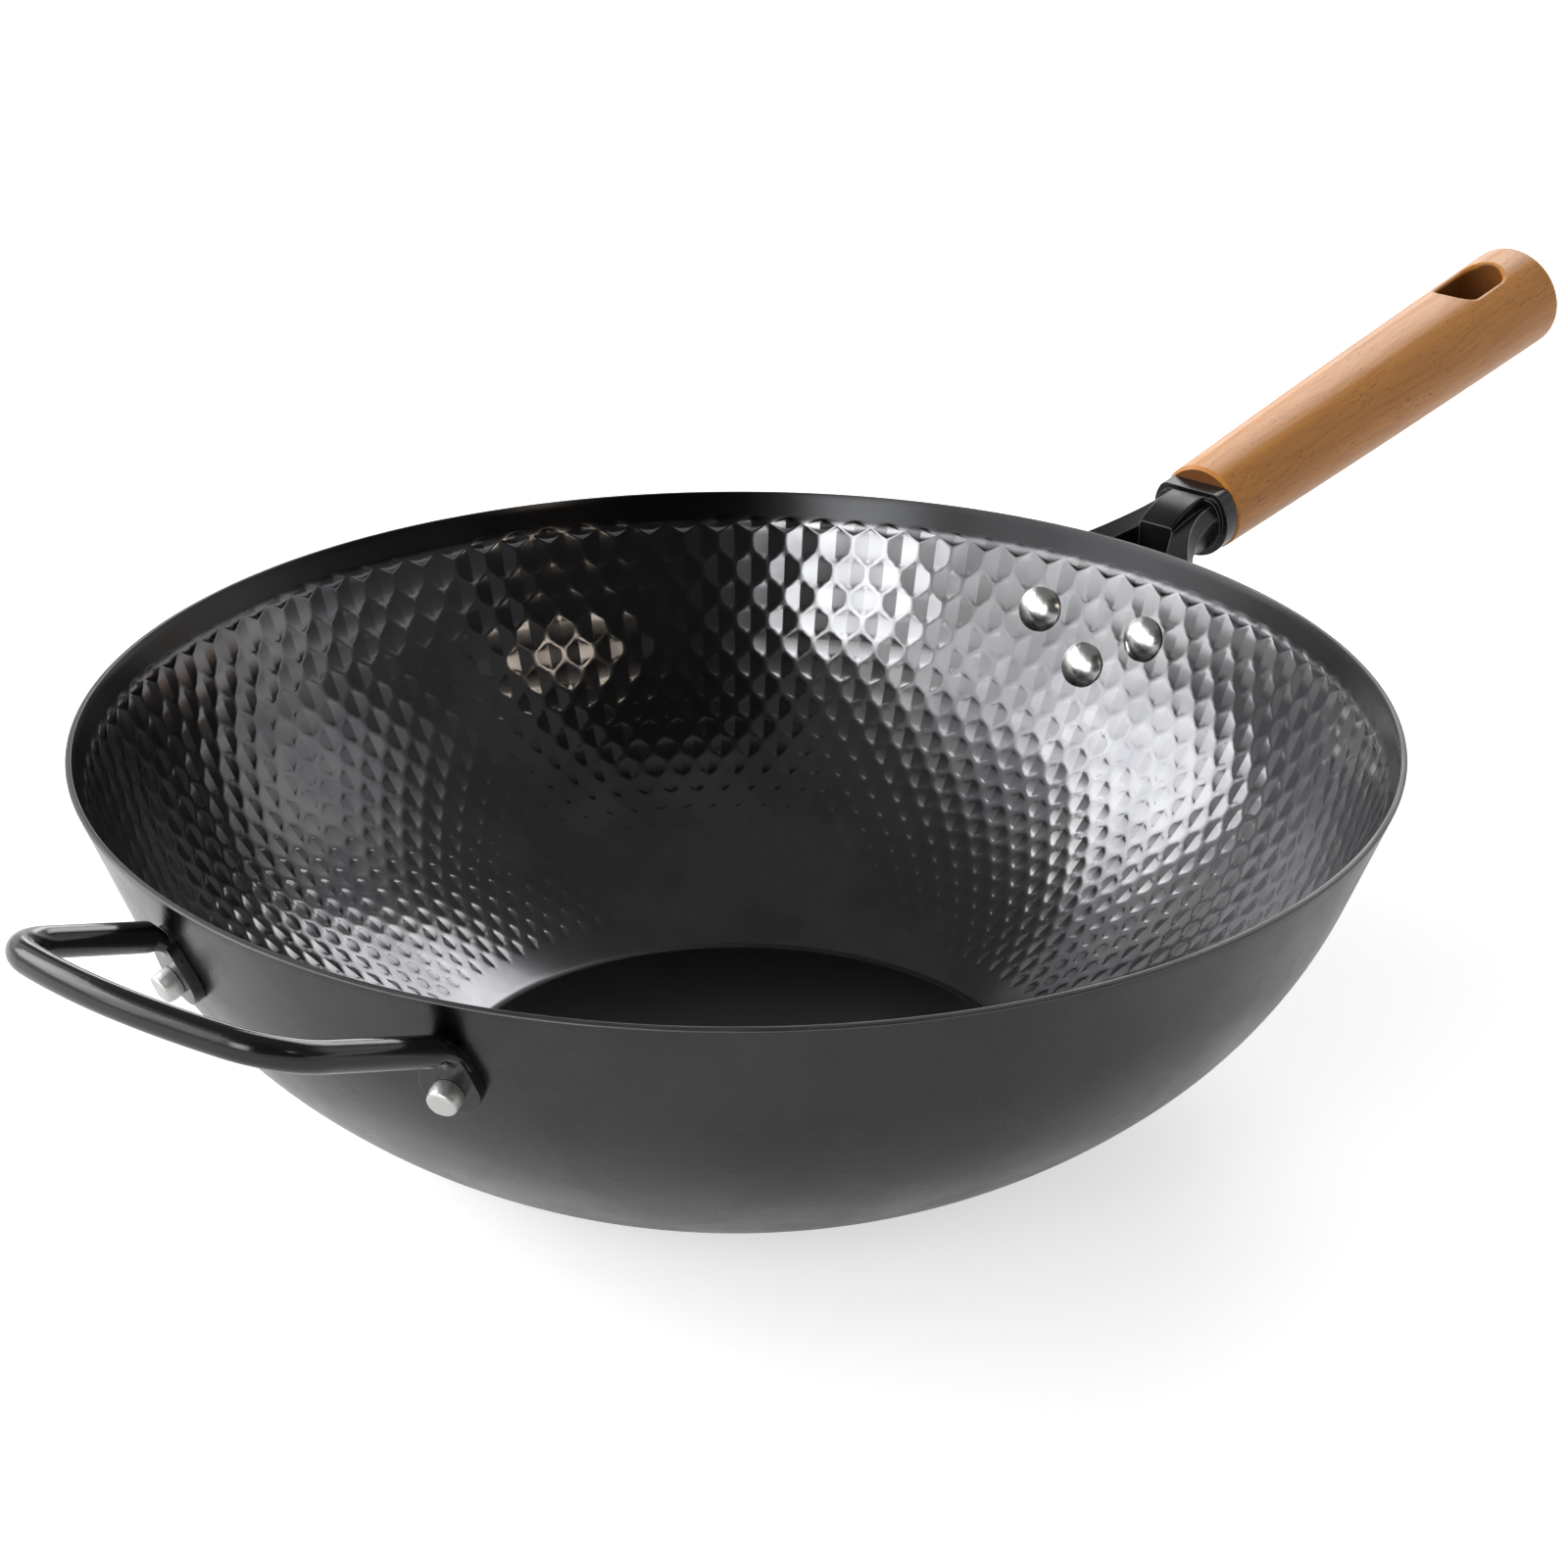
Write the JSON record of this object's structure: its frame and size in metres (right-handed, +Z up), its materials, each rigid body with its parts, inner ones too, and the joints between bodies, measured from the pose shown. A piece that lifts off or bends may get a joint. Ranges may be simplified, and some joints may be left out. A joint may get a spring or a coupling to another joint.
{
  "type": "wok",
  "caption": "Deep round flat-bottomed carbon steel pan with flared walls, a riveted wooden side handle and a bent-bar helper handle, for stir-frying.",
  "frame": {"origin": "centre of the flat base's underside, which is the face that the wok stands on", "axes": "+Z up along the bowl's axis, +X towards the wooden handle, -X towards the helper handle"},
  "size_m": [0.5931, 0.3296, 0.1325],
  "materials": {
    "carbon_steel": "dark tempered carbon steel, satin",
    "black_casting": "black semi-matte on cast metal",
    "black_collar": "black satin",
    "beech": "lacquered beech",
    "plated_steel": "zinc plated",
    "polished_rivet": "polished",
    "gloss_black_bar": "gloss black",
    "soft_rivet": "hammered"
  },
  "bodies": {
    "root": {"bowl": "carbon_steel", "handle_bracket": "black_casting", "ferrule": "black_collar", "wood_handle": "beech", "tie_rod": "plated_steel", "tie_washer": "plated_steel", "tie_nut": "plated_steel", "bracket_rivet_left": "polished_rivet", "bracket_rivet_right": "polished_rivet", "bracket_rivet_lower": "polished_rivet", "helper_handle": "gloss_black_bar", "helper_rivet_left": "soft_rivet", "helper_rivet_right": "soft_rivet"}
  },
  "joints": []
}
